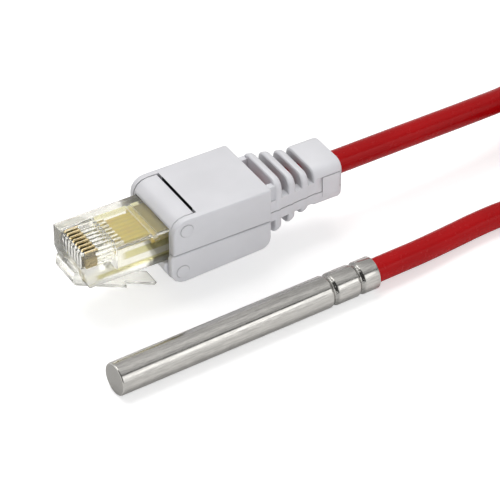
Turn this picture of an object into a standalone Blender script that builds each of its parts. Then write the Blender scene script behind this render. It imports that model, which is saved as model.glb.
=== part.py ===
"""Temperature probe on a red cable that ends in a tool-less modular plug.

The steel sleeve lies along +X with its closed tip at -X, and its bounding box
stands on z = 0 over the origin.  The plug lies beside it on its latch, turned a
little, and the spare cable is folded into a flat hank past the sleeve's mouth.
Plug sizes are in the plug's own frame: u back from the clear body's lower front
corner, over which its nose stands ahead, v to its far side, w up from the
underside of its shells.
"""

import math

import bmesh
import bpy
from mathutils import Matrix, Vector

MM = 0.001

# Steel sleeve
SLEEVE_LENGTH = 52.6 * MM
SLEEVE_DIAMETER = 6.0 * MM
SLEEVE_WALL = 0.4 * MM
SLEEVE_TIP_THICKNESS = 0.8 * MM
SLEEVE_TIP_ROUNDING = 0.35 * MM
CRIMP_FROM_MOUTH = (3.7 * MM, 9.3 * MM)
CRIMP_WIDTH = 1.6 * MM
CRIMP_THINNING = 0.1 * MM
CRIMP_CLEARANCE = 0.06 * MM

# Sensor and wiring in the sleeve
CHIP_RADIUS = 2.3 * MM
CHIP_FLAT = 1.2 * MM
CHIP_LENGTH = 4.6 * MM
CHIP_FROM_TIP = 0.5 * MM
LEG_PITCH = 1.27 * MM
LEG_THICKNESS = 0.42 * MM
LEG_LENGTH = 6.0 * MM
SHRINK_DIAMETER = 1.2 * MM
SHRINK_WALL = 0.12 * MM
SHRINK_LENGTH = 5.0 * MM
WIRE_DIAMETER = 0.9 * MM
WIRE_CIRCLE_RADIUS = 0.75 * MM
WIRE_GAP = 0.06 * MM
JACKET_IN_SLEEVE = 15.0 * MM

# Cable, the hank that its spare length is folded into, and the hank's two straps
CABLE_DIAMETER = 4.5 * MM
HANK_COLUMNS = 2
HANK_LAYERS = 2
HANK_FOLDS = (91.0 * MM, 156.0 * MM)
HANK_MIDDLE = 11.25 * MM
HANK_INNER = 2.5 * CABLE_DIAMETER
HANK_STEPS = 16
STRAP_WIDTH = 8.0 * MM
STRAP_THICKNESS = 0.6 * MM
STRAP_FIT = 0.08 * MM
STRAP_PLACES = ((111.0 * MM, -1), (136.0 * MM, 1))

# Where the plug lies
PLUG_FRONT = (-20.2 * MM, 23.25 * MM)
PLUG_HEADING = math.radians(-2.2)

# Clear plug body with its latch
BODY_LENGTH = 21.5 * MM
BODY_WIDTH = 11.7 * MM
BODY_HEIGHT = 6.6 * MM
BODY_FLOOR = 4.62 * MM
BODY_WALL = 1.2 * MM
BODY_EDGE = 0.2 * MM
NOSE_AHEAD = 0.6 * MM
NOSE_FOOT = 2.1 * MM
PRESS_RIB_PLACE = 13.0 * MM
PRESS_RIB_LENGTH = 0.9 * MM
PRESS_RIB_DEPTH = 0.4 * MM
POCKET_START = 6.0 * MM
SLOT_START = -0.1 * MM
SLOT_DEPTH = 3.4 * MM
LATCH_WIDTH = 6.4 * MM
LATCH_TIP_WIDTH = 3.6 * MM
LATCH_SHOULDER = 8.6 * MM
LATCH_THICKNESS = 0.62 * MM
LATCH_NOSE = 1.7 * MM
LATCH_NOSE_HEIGHT = 2.3 * MM
LATCH_ROOT_GAP = 0.45 * MM
LATCH_TIP = (15.5 * MM, -3.1 * MM)
LATCH_TOE_CUT = 0.37 * MM

# Contacts and circuit board
CONTACT_COUNT = 8
CONTACT_PITCH = 1.02 * MM
CONTACT_THICKNESS = 0.46 * MM
CONTACT_LENGTH = 3.0 * MM
CONTACT_RECESS = 0.6 * MM
CONTACT_CLEARANCE = 0.1 * MM
CONTACT_LEG = 0.35 * MM
CONTACT_LEG_END = 8.0 * MM
BOARD_BELOW_ROOF = 1.75 * MM
BOARD_THICKNESS = 1.0 * MM
BOARD_WIDTH = 6.8 * MM
BOARD_SHOULDER = 12.9 * MM
BOARD_SHOULDER_WIDTH = 8.6 * MM
BOARD_END = 27.9 * MM
FIT = 0.1 * MM

# White carrier with its bonnet and bosses
CARRIER_WIDTH = 12.9 * MM
CARRIER_FRONT = 15.6 * MM
CARRIER_REAR = 29.5 * MM
CARRIER_TOP = 12.0 * MM
BONNET_LENGTH = 4.7 * MM
JAW_LENGTH = 1.25 * MM
JAW_BOTTOM = 0.95 * MM
JAW_REAR = 17.1 * MM
BOSS_RADIUS = 1.25 * MM
BOSS_PROUD = 0.15 * MM
UPPER_BOSS = (18.2 * MM, 11.15 * MM)
LOWER_BOSS = (17.3 * MM, 2.65 * MM)
WIRE_GROOVE_RADIUS = 0.75 * MM

# Forked terminals, four above the board and four below it
TERMINAL_PITCH = 2.4 * MM
TERMINAL_WIDTH = 1.8 * MM
TERMINAL_THICKNESS = 0.5 * MM
TERMINAL_SLOT = 0.45 * MM
TERMINAL_MOUTH = 0.9 * MM
TERMINAL_SLOT_DEPTH = 1.7 * MM
TERMINAL_BELOW_TOP = 0.35 * MM
TERMINAL_PLACES = (23.6 * MM, 26.2 * MM)

# White shells, parted at one height
SHELL_WIDTH = 15.56 * MM
SHELL_TOP = 13.45 * MM
SHELL_REAR = 35.25 * MM
SHELL_WALL = 1.2 * MM
SHELL_EDGE = 0.35 * MM
SHELL_REAR_EDGE = 0.5 * MM
SLIT = 0.45 * MM
UPPER_EAR_FRONT = 15.6 * MM
LOWER_EAR_FRONT = 15.05 * MM
EAR_ROUNDING = 2.7 * MM
LOWER_EAR_CORNER = 0.7 * MM
BOTTOM_RISE = 0.9 * MM
BOTTOM_REAR_ROUNDING = 2.0 * MM
PARTING = 6.35 * MM
PARTING_GAP = 0.16 * MM

# Ribbed tail and collar, halved between the two shells
CABLE_CENTRE = 7.5 * MM
CABLE_BORE = 4.8 * MM
JACKET_IN_PLUG = 34.2 * MM
RIB_STATIONS = (38.1 * MM, 41.0 * MM, 43.9 * MM)
RIB_THICKNESS = 1.5 * MM
RIB_EDGE = 0.45 * MM
TAIL_START = 34.6 * MM
TAIL_START_HALF_WIDTH = 5.9 * MM
TAIL_END_HALF_WIDTH = 4.9 * MM
TAIL_START_TOP = 13.3 * MM
TAIL_END_TOP = 11.1 * MM
TAIL_START_BOTTOM = 0.2 * MM
TAIL_END_BOTTOM = 3.2 * MM
TAIL_CORNER = 1.8 * MM
SPINE_THICKNESS = 1.9 * MM
SPINE_TOP = 8.8 * MM
SPINE_BOTTOM = 4.4 * MM
CHEEK_TOP = 11.7 * MM
COLLAR_START = 45.7 * MM
COLLAR_END = 51.7 * MM
COLLAR_HALF_WIDTH = 4.9 * MM
COLLAR_TOP = 11.5 * MM
COLLAR_BOTTOM = 3.1 * MM
COLLAR_CORNER = 1.9 * MM
COLLAR_EDGE = 0.5 * MM
TAB_START = 47.5 * MM
TAB_LENGTH = 3.6 * MM
TAB_TOP = 9.4 * MM
TAB_DEPTH = 1.0 * MM

# Smoothness of round forms
ROUND_STEPS = 40
FINE_STEPS = 20
CORNER_STEPS = 4

SLEEVE_AXIS = SLEEVE_DIAMETER / 2
BODY_ROOF = BODY_FLOOR + BODY_HEIGHT
SHELL_INNER_HALF = CARRIER_WIDTH / 2 + FIT
BONNET_END = CARRIER_FRONT + BONNET_LENGTH
BOARD_TOP = BODY_ROOF - BOARD_BELOW_ROOF
CARRIER_BOTTOM = SHELL_WALL + BOTTOM_RISE
LATCH_SLOPE = math.atan2(
    BODY_FLOOR - LATCH_ROOT_GAP - LATCH_TIP[1], LATCH_TIP[0]
)
LATCH_TOE = (
    LATCH_TIP[0] - LATCH_THICKNESS * math.sin(LATCH_SLOPE) - LATCH_TOE_CUT * math.cos(LATCH_SLOPE),
    LATCH_TIP[1] - LATCH_THICKNESS * math.cos(LATCH_SLOPE) + LATCH_TOE_CUT * math.sin(LATCH_SLOPE),
)
PLUG_RISE = -LATCH_TOE[1]
HANK_BASE = STRAP_THICKNESS + STRAP_FIT
HANK_TOP = HANK_BASE + HANK_LAYERS * CABLE_DIAMETER
HANK_OUTER = HANK_INNER + HANK_COLUMNS * CABLE_DIAMETER

# The cable's two free stretches, point by point, from the ends held in the
# sleeve and the plug to the hank
PROBE_END_ROUTE = (
    (0.0113, 0.0, 0.0030), (0.0190, 0.0, 0.0030), (0.0263, 0.0, 0.0030), (0.0315, 0.0001, 0.00295),
    (0.0370, 0.0004, 0.0027), (0.0440, 0.0011, 0.00235), (0.0500, 0.00155, 0.0023),
    (0.0557, 0.0016, 0.0023), (0.0620, 0.0010, 0.0023), (0.0690, -0.0008, 0.0025),
    (0.0731, -0.00218, 0.0026),
)
PLUG_END_ROUTE = (
    (0.0140, 0.02194, 0.0110), (0.0230, 0.0216, 0.0110), (0.0318, 0.02125, 0.0110),
    (0.0390, 0.0211, 0.01098), (0.0480, 0.0211, 0.0108), (0.0581, 0.0214, 0.0103),
    (0.0650, 0.0217, 0.0099), (0.0700, 0.0222, 0.0094), (0.0726, 0.0227, 0.00905),
)


def material(name, colour, roughness, metallic=0.0, transmission=0.0):
    made = bpy.data.materials.new(name)
    made.use_nodes = True
    shader = made.node_tree.nodes["Principled BSDF"]
    shader.inputs["Base Color"].default_value = (*colour, 1.0)
    shader.inputs["Roughness"].default_value = roughness
    shader.inputs["Metallic"].default_value = metallic
    shader.inputs["Transmission Weight"].default_value = transmission
    return made


def add_object(name, bm, finish=None, parent=None):
    """Turns a bmesh into a named object with smooth sides and sharp corners."""
    bmesh.ops.recalc_face_normals(bm, faces=bm.faces[:])
    mesh = bpy.data.meshes.new(name)
    bm.to_mesh(mesh)
    bm.free()
    if finish:
        mesh.materials.append(finish)
    mesh.shade_smooth()
    mesh.set_sharp_from_angle(angle=math.radians(30))
    made = bpy.data.objects.new(name, mesh)
    bpy.context.collection.objects.link(made)
    made.parent = parent
    return made


def combine(target, bm, name, operation="DIFFERENCE"):
    """Cuts a shape out of an object, or joins it on, as a live Boolean."""
    tool = add_object(name, bm, parent=target.parent)
    tool.hide_render = True
    tool.display_type = "WIRE"
    step = target.modifiers.new(name, "BOOLEAN")
    step.operation = operation
    step.solver = "EXACT"
    step.object = tool


def outline(corners, steps=CORNER_STEPS):
    """A closed outline from (x, y) or (x, y, fillet radius) corners, fillets as arcs."""
    points = []
    for i, (x, y, *fillet) in enumerate(corners):
        here = Vector((x, y))
        if not fillet:
            points.append(here)
            continue
        before = (Vector(corners[i - 1][:2]) - here).normalized()
        after = (Vector(corners[(i + 1) % len(corners)][:2]) - here).normalized()
        half = before.angle(after) / 2
        radius = fillet[0]
        centre = here + (before + after).normalized() * (radius / math.sin(half))
        first = here + before * (radius / math.tan(half)) - centre
        last = here + after * (radius / math.tan(half)) - centre
        turn = math.atan2(first.x * last.y - first.y * last.x, first.dot(last))
        for k in range(steps + 1):
            spoke = Matrix.Rotation(turn * k / steps, 2) @ first
            points.append(centre + spoke)
    return points


def circle(centre, radius, steps=ROUND_STEPS):
    angles = [2 * math.pi * k / steps for k in range(steps)]
    return [(centre[0] + radius * math.cos(a), centre[1] + radius * math.sin(a)) for a in angles]


def placed(point, along, axis):
    """A point of a flat outline, at a place along the axis that the outline faces."""
    a, b = point
    return {"X": (along, a, b), "Y": (a, along, b), "Z": (a, b, along)}[axis]


def prism(points, low, high, axis, bm=None):
    """A flat outline extruded along an axis.  Its own axes are the two others, in order."""
    bm = bm or bmesh.new()
    face = bm.faces.new([bm.verts.new(placed(p, low, axis)) for p in points])
    grown = bmesh.ops.extrude_face_region(bm, geom=[face], use_keep_orig=True)
    moved = [v for v in grown["geom"] if isinstance(v, bmesh.types.BMVert)]
    bmesh.ops.translate(bm, verts=moved, vec=placed((0, 0), high - low, axis))
    return bm


def block(low, high, bm=None):
    """A box between two corners."""
    bm = bm or bmesh.new()
    size = [b - a for a, b in zip(low, high)]
    middle = [(a + b) / 2 for a, b in zip(low, high)]
    place = Matrix.Translation(middle) @ Matrix.Diagonal((*size, 1.0))
    bmesh.ops.create_cube(bm, size=1.0, matrix=place)
    return bm


def bevel(bm, edges, width, steps=2):
    bmesh.ops.bevel(
        bm, geom=edges, offset=width, offset_type="OFFSET", segments=steps, profile=0.5,
        affect="EDGES", clamp_overlap=True, material=-1,
    )
    return bm


def end_edges(bm, axis, places):
    """The edges that lie in the flat ends of a prism."""
    i = "XYZ".index(axis)
    return [
        e for e in bm.edges
        if any(all(abs(v.co[i] - at) < 1e-7 for v in e.verts) for at in places)
    ]


def clip(bm, height, keep):
    """Keeps what lies above or below a height, and closes the cut."""
    normal = (0, 0, -1) if keep == "above" else (0, 0, 1)
    cut = bmesh.ops.bisect_plane(
        bm, geom=bm.verts[:] + bm.edges[:] + bm.faces[:], dist=1e-8,
        plane_co=(0, 0, height), plane_no=normal, clear_outer=True,
    )
    rim = [e for e in cut["geom_cut"] if isinstance(e, bmesh.types.BMEdge)]
    bmesh.ops.edgeloop_fill(bm, edges=rim)
    return bm


def loft(sections):
    """A solid through rings of equally many points."""
    bm = bmesh.new()
    rings = [[bm.verts.new(p) for p in section] for section in sections]
    loops = []
    for ring in rings:
        loops.append([bm.edges.new((ring[i - 1], ring[i])) for i in range(len(ring))])
    for a, b in zip(loops, loops[1:]):
        bmesh.ops.bridge_loops(bm, edges=a + b)
    bm.faces.new(rings[0])
    bm.faces.new(rings[-1])
    return bm


def turned(profile, steps=ROUND_STEPS):
    """Spins a closed (x, radius) profile about the X axis into a solid."""
    bm = bmesh.new()
    ring = [bm.verts.new((x, 0.0, r)) for x, r in profile]
    edges = [bm.edges.new(pair) for pair in zip(ring, ring[1:])]
    if profile[0][1] > 0:
        edges.append(bm.edges.new((ring[-1], ring[0])))
    bmesh.ops.spin(
        bm, geom=ring + edges, cent=(0, 0, 0), axis=(1, 0, 0), angle=2 * math.pi,
        steps=steps, use_merge=True,
    )
    bmesh.ops.remove_doubles(bm, verts=bm.verts[:], dist=1e-8)
    return bm


def tube(name, points, diameter, finish, parent=None, resolution=2):
    """A cable or a wire: a curve with a round section and closed ends."""
    curve = bpy.data.curves.new(name, "CURVE")
    curve.dimensions = "3D"
    curve.bevel_depth = diameter / 2
    curve.bevel_resolution = resolution
    curve.use_fill_caps = True
    spline = curve.splines.new("POLY")
    spline.points.add(len(points) - 1)
    for target, point in zip(spline.points, points):
        target.co = (*point, 1.0)
    curve.materials.append(finish)
    made = bpy.data.objects.new(name, curve)
    bpy.context.collection.objects.link(made)
    made.parent = parent
    return made


def smooth_route(knots, spacing):
    """Evenly spaced points on a smooth curve through the route's own points."""
    knots = [Vector(k) for k in knots]
    ends = [2 * knots[0] - knots[1], *knots, 2 * knots[-1] - knots[-2]]
    fine_steps = 20
    fine = []
    for a, b, c, d in zip(ends, ends[1:], ends[2:], ends[3:]):
        for k in range(fine_steps):
            t = k / fine_steps
            bend = (2 * a - 5 * b + 4 * c - d) * t ** 2 + (3 * b - a - 3 * c + d) * t ** 3
            fine.append(b + ((c - a) * t + bend) / 2)
    fine.append(knots[-1])
    reach = [0.0]
    for a, b in zip(fine, fine[1:]):
        reach.append(reach[-1] + (b - a).length)
    count = max(2, round(reach[-1] / spacing))
    points, j = [], 0
    for k in range(count + 1):
        want = reach[-1] * k / count
        while j < len(fine) - 2 and reach[j + 1] < want:
            j += 1
        points.append(fine[j].lerp(fine[j + 1], (want - reach[j]) / (reach[j + 1] - reach[j])))
    return points


def quarter_arc(steps=4):
    return [math.pi / 2 * k / steps for k in range(steps + 1)]


def sleeve_x(from_tip):
    """The sleeve is centred on the origin, with its tip at -X."""
    return from_tip - SLEEVE_LENGTH / 2


def make_sleeve(steel):
    """A drawn steel sleeve, closed at the tip and rolled down onto the cable twice."""
    outer = SLEEVE_DIAMETER / 2
    inner = outer - SLEEVE_WALL
    squeeze = inner - CABLE_DIAMETER / 2 - CRIMP_CLEARANCE
    outside = [(0.0, 0.0)]
    for a in quarter_arc():
        outside.append(
            (SLEEVE_TIP_ROUNDING * (1 - math.cos(a)), outer - SLEEVE_TIP_ROUNDING * (1 - math.sin(a)))
        )
    inside = [(SLEEVE_TIP_THICKNESS, 0.0), (SLEEVE_TIP_THICKNESS, inner)]
    steps = 4
    for from_mouth in sorted(CRIMP_FROM_MOUTH, reverse=True):
        for k in range(-steps, steps + 1):
            along = SLEEVE_LENGTH - from_mouth + CRIMP_WIDTH / 2 * k / steps
            depth = (1 + math.cos(math.pi * k / steps)) / 2
            outside.append((along, outer - (squeeze + CRIMP_THINNING) * depth))
            inside.append((along, inner - squeeze * depth))
    lip = SLEEVE_WALL / 4
    outside += [(SLEEVE_LENGTH - lip, outer), (SLEEVE_LENGTH, outer - lip)]
    inside.append((SLEEVE_LENGTH, inner))
    bm = turned([(sleeve_x(x), r) for x, r in outside + inside[::-1]])
    bmesh.ops.translate(bm, verts=bm.verts[:], vec=(0, 0, SLEEVE_AXIS))
    add_object("probe_sleeve", bm, steel)


def wire_seat(i):
    """Where one of the three wires lies in the round cable, across it and up."""
    angle = math.radians(210 - 120 * i)
    return WIRE_CIRCLE_RADIUS * math.cos(angle), WIRE_CIRCLE_RADIUS * math.sin(angle)


def make_sensor(epoxy, tin, shrink, jackets):
    """The sensor chip in the tip, its legs, the shrink tubes and the cable's wires."""
    chip_start = sleeve_x(SLEEVE_TIP_THICKNESS + CHIP_FROM_TIP)
    chip_end = chip_start + CHIP_LENGTH
    below = math.asin(CHIP_FLAT / CHIP_RADIUS)
    sweep = math.pi + 2 * below
    section = [
        (CHIP_RADIUS * math.cos(a), SLEEVE_AXIS + CHIP_RADIUS * math.sin(a))
        for a in (sweep * k / FINE_STEPS - below for k in range(FINE_STEPS + 1))
    ]
    add_object("sensor_chip", prism(section, chip_start, chip_end, "X"), epoxy)

    leg_start = chip_end + WIRE_GAP
    leg_end = leg_start + LEG_LENGTH
    wire_start = leg_end + WIRE_GAP
    wire_end = sleeve_x(SLEEVE_LENGTH - JACKET_IN_SLEEVE) - WIRE_GAP
    shrink_start = wire_start - SHRINK_LENGTH / 2
    bore = SHRINK_DIAMETER / 2 - SHRINK_WALL
    for i, (name, jacket) in enumerate(jackets):
        y = (i - 1) * LEG_PITCH
        half = LEG_THICKNESS / 2
        leg = block(
            (leg_start, y - half, SLEEVE_AXIS - half), (leg_end, y + half, SLEEVE_AXIS + half)
        )
        add_object(f"sensor_leg_{name}", leg, tin)
        ends = (shrink_start, shrink_start + SHRINK_LENGTH)
        ring = [(ends[0], bore), (ends[1], bore), (ends[1], SHRINK_DIAMETER / 2)]
        bm = turned(ring + [(ends[0], SHRINK_DIAMETER / 2)], FINE_STEPS)
        bmesh.ops.translate(bm, verts=bm.verts[:], vec=(0, y, SLEEVE_AXIS))
        add_object(f"sensor_shrink_{name}", bm, shrink)
        seat = wire_seat(i)
        straight = SHRINK_LENGTH / 2 + 1.0 * MM
        route = [
            (wire_start, y, SLEEVE_AXIS),
            (wire_start + straight, y, SLEEVE_AXIS),
            (wire_end - 3.0 * MM, seat[0], SLEEVE_AXIS + seat[1]),
            (wire_end, seat[0], SLEEVE_AXIS + seat[1]),
        ]
        tube(f"sensor_wire_{name}", smooth_route(route, 1.5 * WIRE_DIAMETER), WIRE_DIAMETER, jacket)


def make_cable(red):
    """The cable's two free stretches, one from the sleeve and one from the plug."""
    spacing = 1.2 * CABLE_DIAMETER
    tube("cable_probe_end", smooth_route(PROBE_END_ROUTE, spacing), CABLE_DIAMETER, red)
    tube("cable_plug_end", smooth_route(PLUG_END_ROUTE, spacing), CABLE_DIAMETER, red)


def hank_loop(radius):
    """A closed line round the hank, at a distance from its two folds and its middle line."""
    points = []
    for place, start in zip(HANK_FOLDS[::-1], (-math.pi / 2, math.pi / 2)):
        for k in range(HANK_STEPS + 1):
            a = start + math.pi * k / HANK_STEPS
            points.append((place + radius * math.cos(a), HANK_MIDDLE + radius * math.sin(a)))
    return points


def make_hank(red):
    """The folded cable between the free stretches, as one solid round its open middle."""
    corner = CABLE_DIAMETER / 2
    section = outline(
        [(HANK_INNER, HANK_BASE, corner), (HANK_OUTER, HANK_BASE, corner),
         (HANK_OUTER, HANK_TOP, corner), (HANK_INNER, HANK_TOP, corner)]
    )
    bm = bmesh.new()
    loops = []
    for radius, height in section:
        loops.append([bm.verts.new((x, y, height)) for x, y in hank_loop(radius)])
    for a, b in zip(loops, loops[1:] + loops[:1]):
        for k in range(len(a)):
            bm.faces.new((a[k - 1], a[k], b[k], b[k - 1]))
    add_object("cable_hank", bm, red)


def strap_section(grow):
    """A strap's outline from the end, round one run of the hank and grown by a distance."""
    radius = CABLE_DIAMETER / 2 + grow
    half = HANK_COLUMNS * CABLE_DIAMETER / 2 + grow
    low = HANK_BASE - grow
    high = HANK_TOP + grow
    return outline(
        [(-half, low, radius), (half, low, radius), (half, high, radius), (-half, high, radius)]
    )


def make_straps(strap_cloth):
    """Two straps, each wrapped round one run of the hank.  The hank lies on them."""
    for i, (place, side) in enumerate(STRAP_PLACES):
        middle = HANK_MIDDLE + side * (HANK_INNER + HANK_OUTER) / 2
        bm = bmesh.new()
        loops = []
        for grow in (STRAP_FIT, STRAP_FIT + STRAP_THICKNESS):
            verts = [
                bm.verts.new((place - STRAP_WIDTH / 2, middle + p.x, p.y))
                for p in strap_section(grow)
            ]
            loops += [bm.edges.new((verts[k - 1], verts[k])) for k in range(len(verts))]
        flat = bmesh.ops.bridge_loops(bm, edges=loops)["faces"]
        grown = bmesh.ops.extrude_face_region(bm, geom=flat, use_keep_orig=True)
        moved = [v for v in grown["geom"] if isinstance(v, bmesh.types.BMVert)]
        bmesh.ops.translate(bm, verts=moved, vec=(STRAP_WIDTH, 0, 0))
        add_object(f"hank_strap_{i + 1}", bm, strap_cloth)


def latch_shape():
    """The latch from the side: a nose ahead of the body and a lever down and back."""
    nose_foot = LATCH_TOE[1] + (LATCH_TOE[0] + LATCH_NOSE) * math.tan(LATCH_SLOPE)
    root = BODY_FLOOR - LATCH_ROOT_GAP
    inset = 2 * BODY_EDGE
    nose_top = BODY_FLOOR + LATCH_NOSE_HEIGHT
    return outline(
        [
            (inset, nose_top), (-LATCH_NOSE, nose_top, LATCH_NOSE * 0.5),
            (-LATCH_NOSE, nose_foot, LATCH_NOSE * 0.5), (*LATCH_TOE, LATCH_THICKNESS * 0.2),
            (*LATCH_TIP, LATCH_THICKNESS * 0.2),
            (inset, root - inset * math.tan(LATCH_SLOPE), LATCH_ROOT_GAP * 0.3),
        ],
        steps=3,
    )


def contact_v(i):
    return (i - (CONTACT_COUNT - 1) / 2) * CONTACT_PITCH


def make_plug_body(clear, frame):
    """Clear body: a hollow box with eight contact slots and the latch below it."""
    half = BODY_WIDTH / 2
    side = [
        (0, BODY_FLOOR), (BODY_LENGTH, BODY_FLOOR), (BODY_LENGTH, BODY_ROOF),
        (-NOSE_AHEAD, BODY_ROOF), (-NOSE_AHEAD, BODY_FLOOR + NOSE_FOOT),
    ]
    bm = prism(side, -half, half, "Y")
    bevel(bm, bm.edges[:], BODY_EDGE)
    body = add_object("plug_body", bm, clear, frame)

    latch = prism(latch_shape(), -LATCH_WIDTH / 2, LATCH_WIDTH / 2, "Y")
    combine(body, latch, "latch_form", "UNION")
    trims = bmesh.new()
    for side in (-1, 1):
        near, far = side * LATCH_TIP_WIDTH / 2, side * LATCH_WIDTH
        low = (LATCH_SHOULDER, min(near, far), -PLUG_RISE - FIT)
        block(low, (LATCH_TIP[0] + LATCH_NOSE, max(near, far), BODY_FLOOR - LATCH_ROOT_GAP), trims)
    combine(body, trims, "latch_shoulders")

    inner = half - BODY_WALL
    pocket = block(
        (POCKET_START, -inner, BODY_FLOOR + BODY_WALL),
        (BODY_LENGTH + BODY_WALL, inner, BODY_ROOF - BODY_WALL),
    )
    combine(body, pocket, "board_pocket")
    ceiling = BODY_ROOF - BODY_WALL
    rib = block(
        (PRESS_RIB_PLACE, -inner - FIT, ceiling - PRESS_RIB_DEPTH),
        (PRESS_RIB_PLACE + PRESS_RIB_LENGTH, inner + FIT, ceiling + FIT),
    )
    combine(body, rib, "press_rib", "UNION")
    slots = bmesh.new()
    wide = CONTACT_THICKNESS / 2 + CONTACT_CLEARANCE
    for i in range(CONTACT_COUNT):
        v = contact_v(i)
        low = (SLOT_START, v - wide, BODY_ROOF - SLOT_DEPTH)
        block(low, (POCKET_START + FIT, v + wide, BODY_ROOF + BODY_WALL), slots)
    combine(body, slots, "contact_slots")


def make_contacts(gold, frame):
    """Stamped blades, each with a leg that lies on the board."""
    front = SLOT_START + CONTACT_CLEARANCE
    back = front + CONTACT_LENGTH
    top = BODY_ROOF - CONTACT_RECESS
    foot = BODY_ROOF - SLOT_DEPTH + CONTACT_CLEARANCE
    leg = BOARD_TOP + WIRE_GAP
    blade = outline(
        [
            (front, foot), (front, top, 0.5 * MM), (back, top, 0.3 * MM), (back, leg + CONTACT_LEG),
            (CONTACT_LEG_END, leg + CONTACT_LEG), (CONTACT_LEG_END, leg), (back - 0.5 * MM, leg),
            (back - 0.5 * MM, foot),
        ],
        steps=3,
    )
    for i in range(CONTACT_COUNT):
        v = contact_v(i)
        half = CONTACT_THICKNESS / 2
        add_object(f"contact_{i + 1}", prism(blade, v - half, v + half, "Y"), gold, frame)


def make_board(resin, frame):
    """The circuit board, narrow under the contacts and wide under the terminals."""
    start = POCKET_START + FIT
    plan = [
        (start, -BOARD_WIDTH / 2), (BOARD_SHOULDER, -BOARD_WIDTH / 2),
        (BOARD_SHOULDER, -BOARD_SHOULDER_WIDTH / 2), (BOARD_END, -BOARD_SHOULDER_WIDTH / 2),
        (BOARD_END, BOARD_SHOULDER_WIDTH / 2), (BOARD_SHOULDER, BOARD_SHOULDER_WIDTH / 2),
        (BOARD_SHOULDER, BOARD_WIDTH / 2), (start, BOARD_WIDTH / 2),
    ]
    bm = prism(plan, BOARD_TOP - BOARD_THICKNESS, BOARD_TOP, "Z")
    add_object("contact_board", bm, resin, frame)


def terminals():
    """Number, place along the plug, place across it, and +1 above or -1 below the board."""
    number = 0
    for side in (1, -1):
        for i in range(4):
            number += 1
            yield number, TERMINAL_PLACES[i % 2], (i - 1.5) * TERMINAL_PITCH, side


def terminal_reach(side):
    """Heights of a terminal's foot at the board and of its fork's end."""
    if side > 0:
        return BOARD_TOP + WIRE_GAP, CARRIER_TOP - TERMINAL_BELOW_TOP
    return BOARD_TOP - BOARD_THICKNESS - WIRE_GAP, CARRIER_BOTTOM + TERMINAL_BELOW_TOP


def make_terminals(tin, frame):
    """Forks that pinch a wire each, with their feet on the board."""
    for number, u, v, side in terminals():
        foot, end = terminal_reach(side)
        half, slot, mouth = TERMINAL_WIDTH / 2, TERMINAL_SLOT / 2, TERMINAL_MOUTH / 2
        lead_in = end - side * (mouth - slot)
        root = end - side * TERMINAL_SLOT_DEPTH
        fork = [
            (v - half, foot), (v - half, end), (v - mouth, end), (v - slot, lead_in),
            (v - slot, root), (v + slot, root), (v + slot, lead_in), (v + mouth, end),
            (v + half, end), (v + half, foot),
        ]
        thick = TERMINAL_THICKNESS / 2
        add_object(f"terminal_{number}", prism(fork, u - thick, u + thick, "X"), tin, frame)


def make_carrier(white, frame):
    """The inner carrier: bonnet above the plug body, jaw below it, terminals behind it."""
    half = CARRIER_WIDTH / 2
    jaw_top = BODY_FLOOR - FIT
    side_view = outline(
        [
            (CARRIER_FRONT, SHELL_TOP, EAR_ROUNDING), (BONNET_END, SHELL_TOP, 0.2 * MM),
            (BONNET_END, CARRIER_TOP), (CARRIER_REAR, CARRIER_TOP), (CARRIER_REAR, CARRIER_BOTTOM),
            (JAW_REAR, CARRIER_BOTTOM), (JAW_REAR, JAW_BOTTOM), (CARRIER_FRONT, JAW_BOTTOM, 0.4 * MM),
            (CARRIER_FRONT - JAW_LENGTH, jaw_top - 1.3 * MM, 0.3 * MM),
            (CARRIER_FRONT - JAW_LENGTH, jaw_top, 0.2 * MM), (CARRIER_FRONT, jaw_top),
        ]
    )
    bm = prism(side_view, -half, half, "Y")
    bevel(bm, end_edges(bm, "Y", (-half, half)), 0.15 * MM, 1)
    carrier = add_object("plug_carrier", bm, white, frame)

    proud = SHELL_WIDTH / 2 + BOSS_PROUD
    bosses = bmesh.new()
    for boss in (UPPER_BOSS, LOWER_BOSS):
        prism(circle(boss, BOSS_RADIUS, FINE_STEPS), -proud, proud, "Y", bosses)
    bevel(bosses, end_edges(bosses, "Y", (-proud, proud)), BOSS_PROUD * 0.8)
    combine(carrier, bosses, "boss_pins", "UNION")

    room = BODY_WIDTH / 2 + FIT
    seat = block(
        (CARRIER_FRONT - JAW_LENGTH * 2, -room, jaw_top),
        (BODY_LENGTH + FIT, room, BODY_ROOF + FIT),
    )
    combine(carrier, seat, "body_seat")
    half_board = BOARD_SHOULDER_WIDTH / 2 + FIT
    slot = block(
        (BODY_LENGTH - FIT, -half_board, BOARD_TOP - BOARD_THICKNESS - FIT),
        (BOARD_END + FIT, half_board, BOARD_TOP + FIT),
    )
    combine(carrier, slot, "board_slot")
    wells, grooves = bmesh.new(), bmesh.new()
    for number, u, v, side in terminals():
        foot, end = terminal_reach(side)
        outside = end + side * 2 * TERMINAL_BELOW_TOP
        low, high = sorted((foot - side * 2 * FIT, outside))
        wide, thick = TERMINAL_WIDTH / 2 + FIT, TERMINAL_THICKNESS / 2 + FIT
        block((u - thick, v - wide, low), (u + thick, v + wide, high), wells)
    combine(carrier, wells, "terminal_wells")
    for i in range(4):
        v = (i - 1.5) * TERMINAL_PITCH
        for height in (CARRIER_TOP, CARRIER_BOTTOM):
            ring = circle((v, height), WIRE_GROOVE_RADIUS, FINE_STEPS)
            prism(ring, BODY_LENGTH + FIT + 0.6 * MM, CARRIER_REAR + FIT, "X", grooves)
    combine(carrier, grooves, "wire_grooves")


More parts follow.
